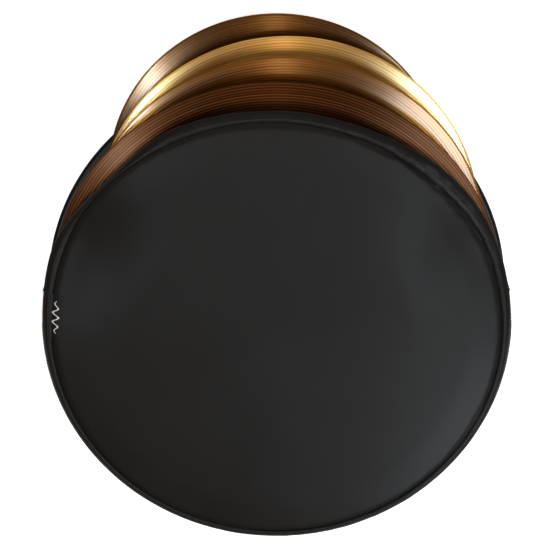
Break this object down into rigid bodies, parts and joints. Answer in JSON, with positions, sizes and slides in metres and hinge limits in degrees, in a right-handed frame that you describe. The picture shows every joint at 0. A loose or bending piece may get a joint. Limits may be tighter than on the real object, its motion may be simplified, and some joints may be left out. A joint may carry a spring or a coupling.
{
  "type": "cymbal pouch with cymbals",
  "caption": "Round padded pouch with divided pockets holding cymbals of stepped sizes, drawn part of the way out of its mouth.",
  "frame": {"origin": "centre of the back panel's outer face, on the surface that the pouch lies on", "axes": "+Z is the front panel's outward normal, +Y points out of the mouth, +X is to the right as seen from the front"},
  "size_m": [0.5308, 0.5964, 0.1257],
  "materials": {
    "shell_cloth": "fine plain-weave nylon, dull",
    "lining_fleece": "short brushed pile",
    "divider_fleece": "short brushed pile, dark grey",
    "binding_tape": "ribbed woven tape",
    "foam": "closed-cell foam, matt",
    "piping_cord": "twisted cotton cord",
    "divider_felt": "pressed felt",
    "label_cloth": "woven satin label, black",
    "bronze_15": "lathed bronze, brownish",
    "bronze_17": "lathed bronze, bright gold",
    "bronze_18": "lathed bronze, golden brown",
    "bronze_20": "lathed bronze, dark reddish brown"
  },
  "bodies": {
    "pouch": {"back_shell": "shell_cloth", "back_foam": "foam", "back_lining": "lining_fleece", "back_welt": "binding_tape", "front_shell": "shell_cloth", "front_foam": "foam", "front_lining": "lining_fleece", "front_edge_band": "shell_cloth", "front_piping": "piping_cord", "gusset_shell": "shell_cloth", "gusset_foam": "foam", "gusset_lining": "lining_fleece", "mouth_tape_left": "binding_tape", "mouth_tape_right": "binding_tape", "woven_label": "label_cloth", "divider_1_core": "divider_felt", "divider_1_back_fleece": "divider_fleece", "divider_1_front_fleece": "divider_fleece", "divider_1_tape": "binding_tape", "divider_2_core": "divider_felt", "divider_2_back_fleece": "divider_fleece", "divider_2_front_fleece": "divider_fleece", "divider_2_tape": "binding_tape", "divider_3_core": "divider_felt", "divider_3_back_fleece": "divider_fleece", "divider_3_front_fleece": "divider_fleece", "divider_3_tape": "binding_tape"},
    "cymbal_15": {"cymbal_15": "bronze_15"},
    "cymbal_17": {"cymbal_17": "bronze_17"},
    "cymbal_18": {"cymbal_18": "bronze_18"},
    "cymbal_20": {"cymbal_20": "bronze_20"}
  },
  "joints": [
    {"name": "slide_15", "type": "slide", "parent": "pouch", "child": "cymbal_15", "axis": [0, 1, 0], "range_m": [-0.207, 0.316]},
    {"name": "slide_17", "type": "slide", "parent": "pouch", "child": "cymbal_17", "axis": [0, 1, 0], "range_m": [-0.1361, 0.385]},
    {"name": "slide_18", "type": "slide", "parent": "pouch", "child": "cymbal_18", "axis": [0, 1, 0], "range_m": [-0.097, 0.425]},
    {"name": "slide_20", "type": "slide", "parent": "pouch", "child": "cymbal_20", "axis": [0, 1, 0], "range_m": [-0.028, 0.495]}
  ]
}
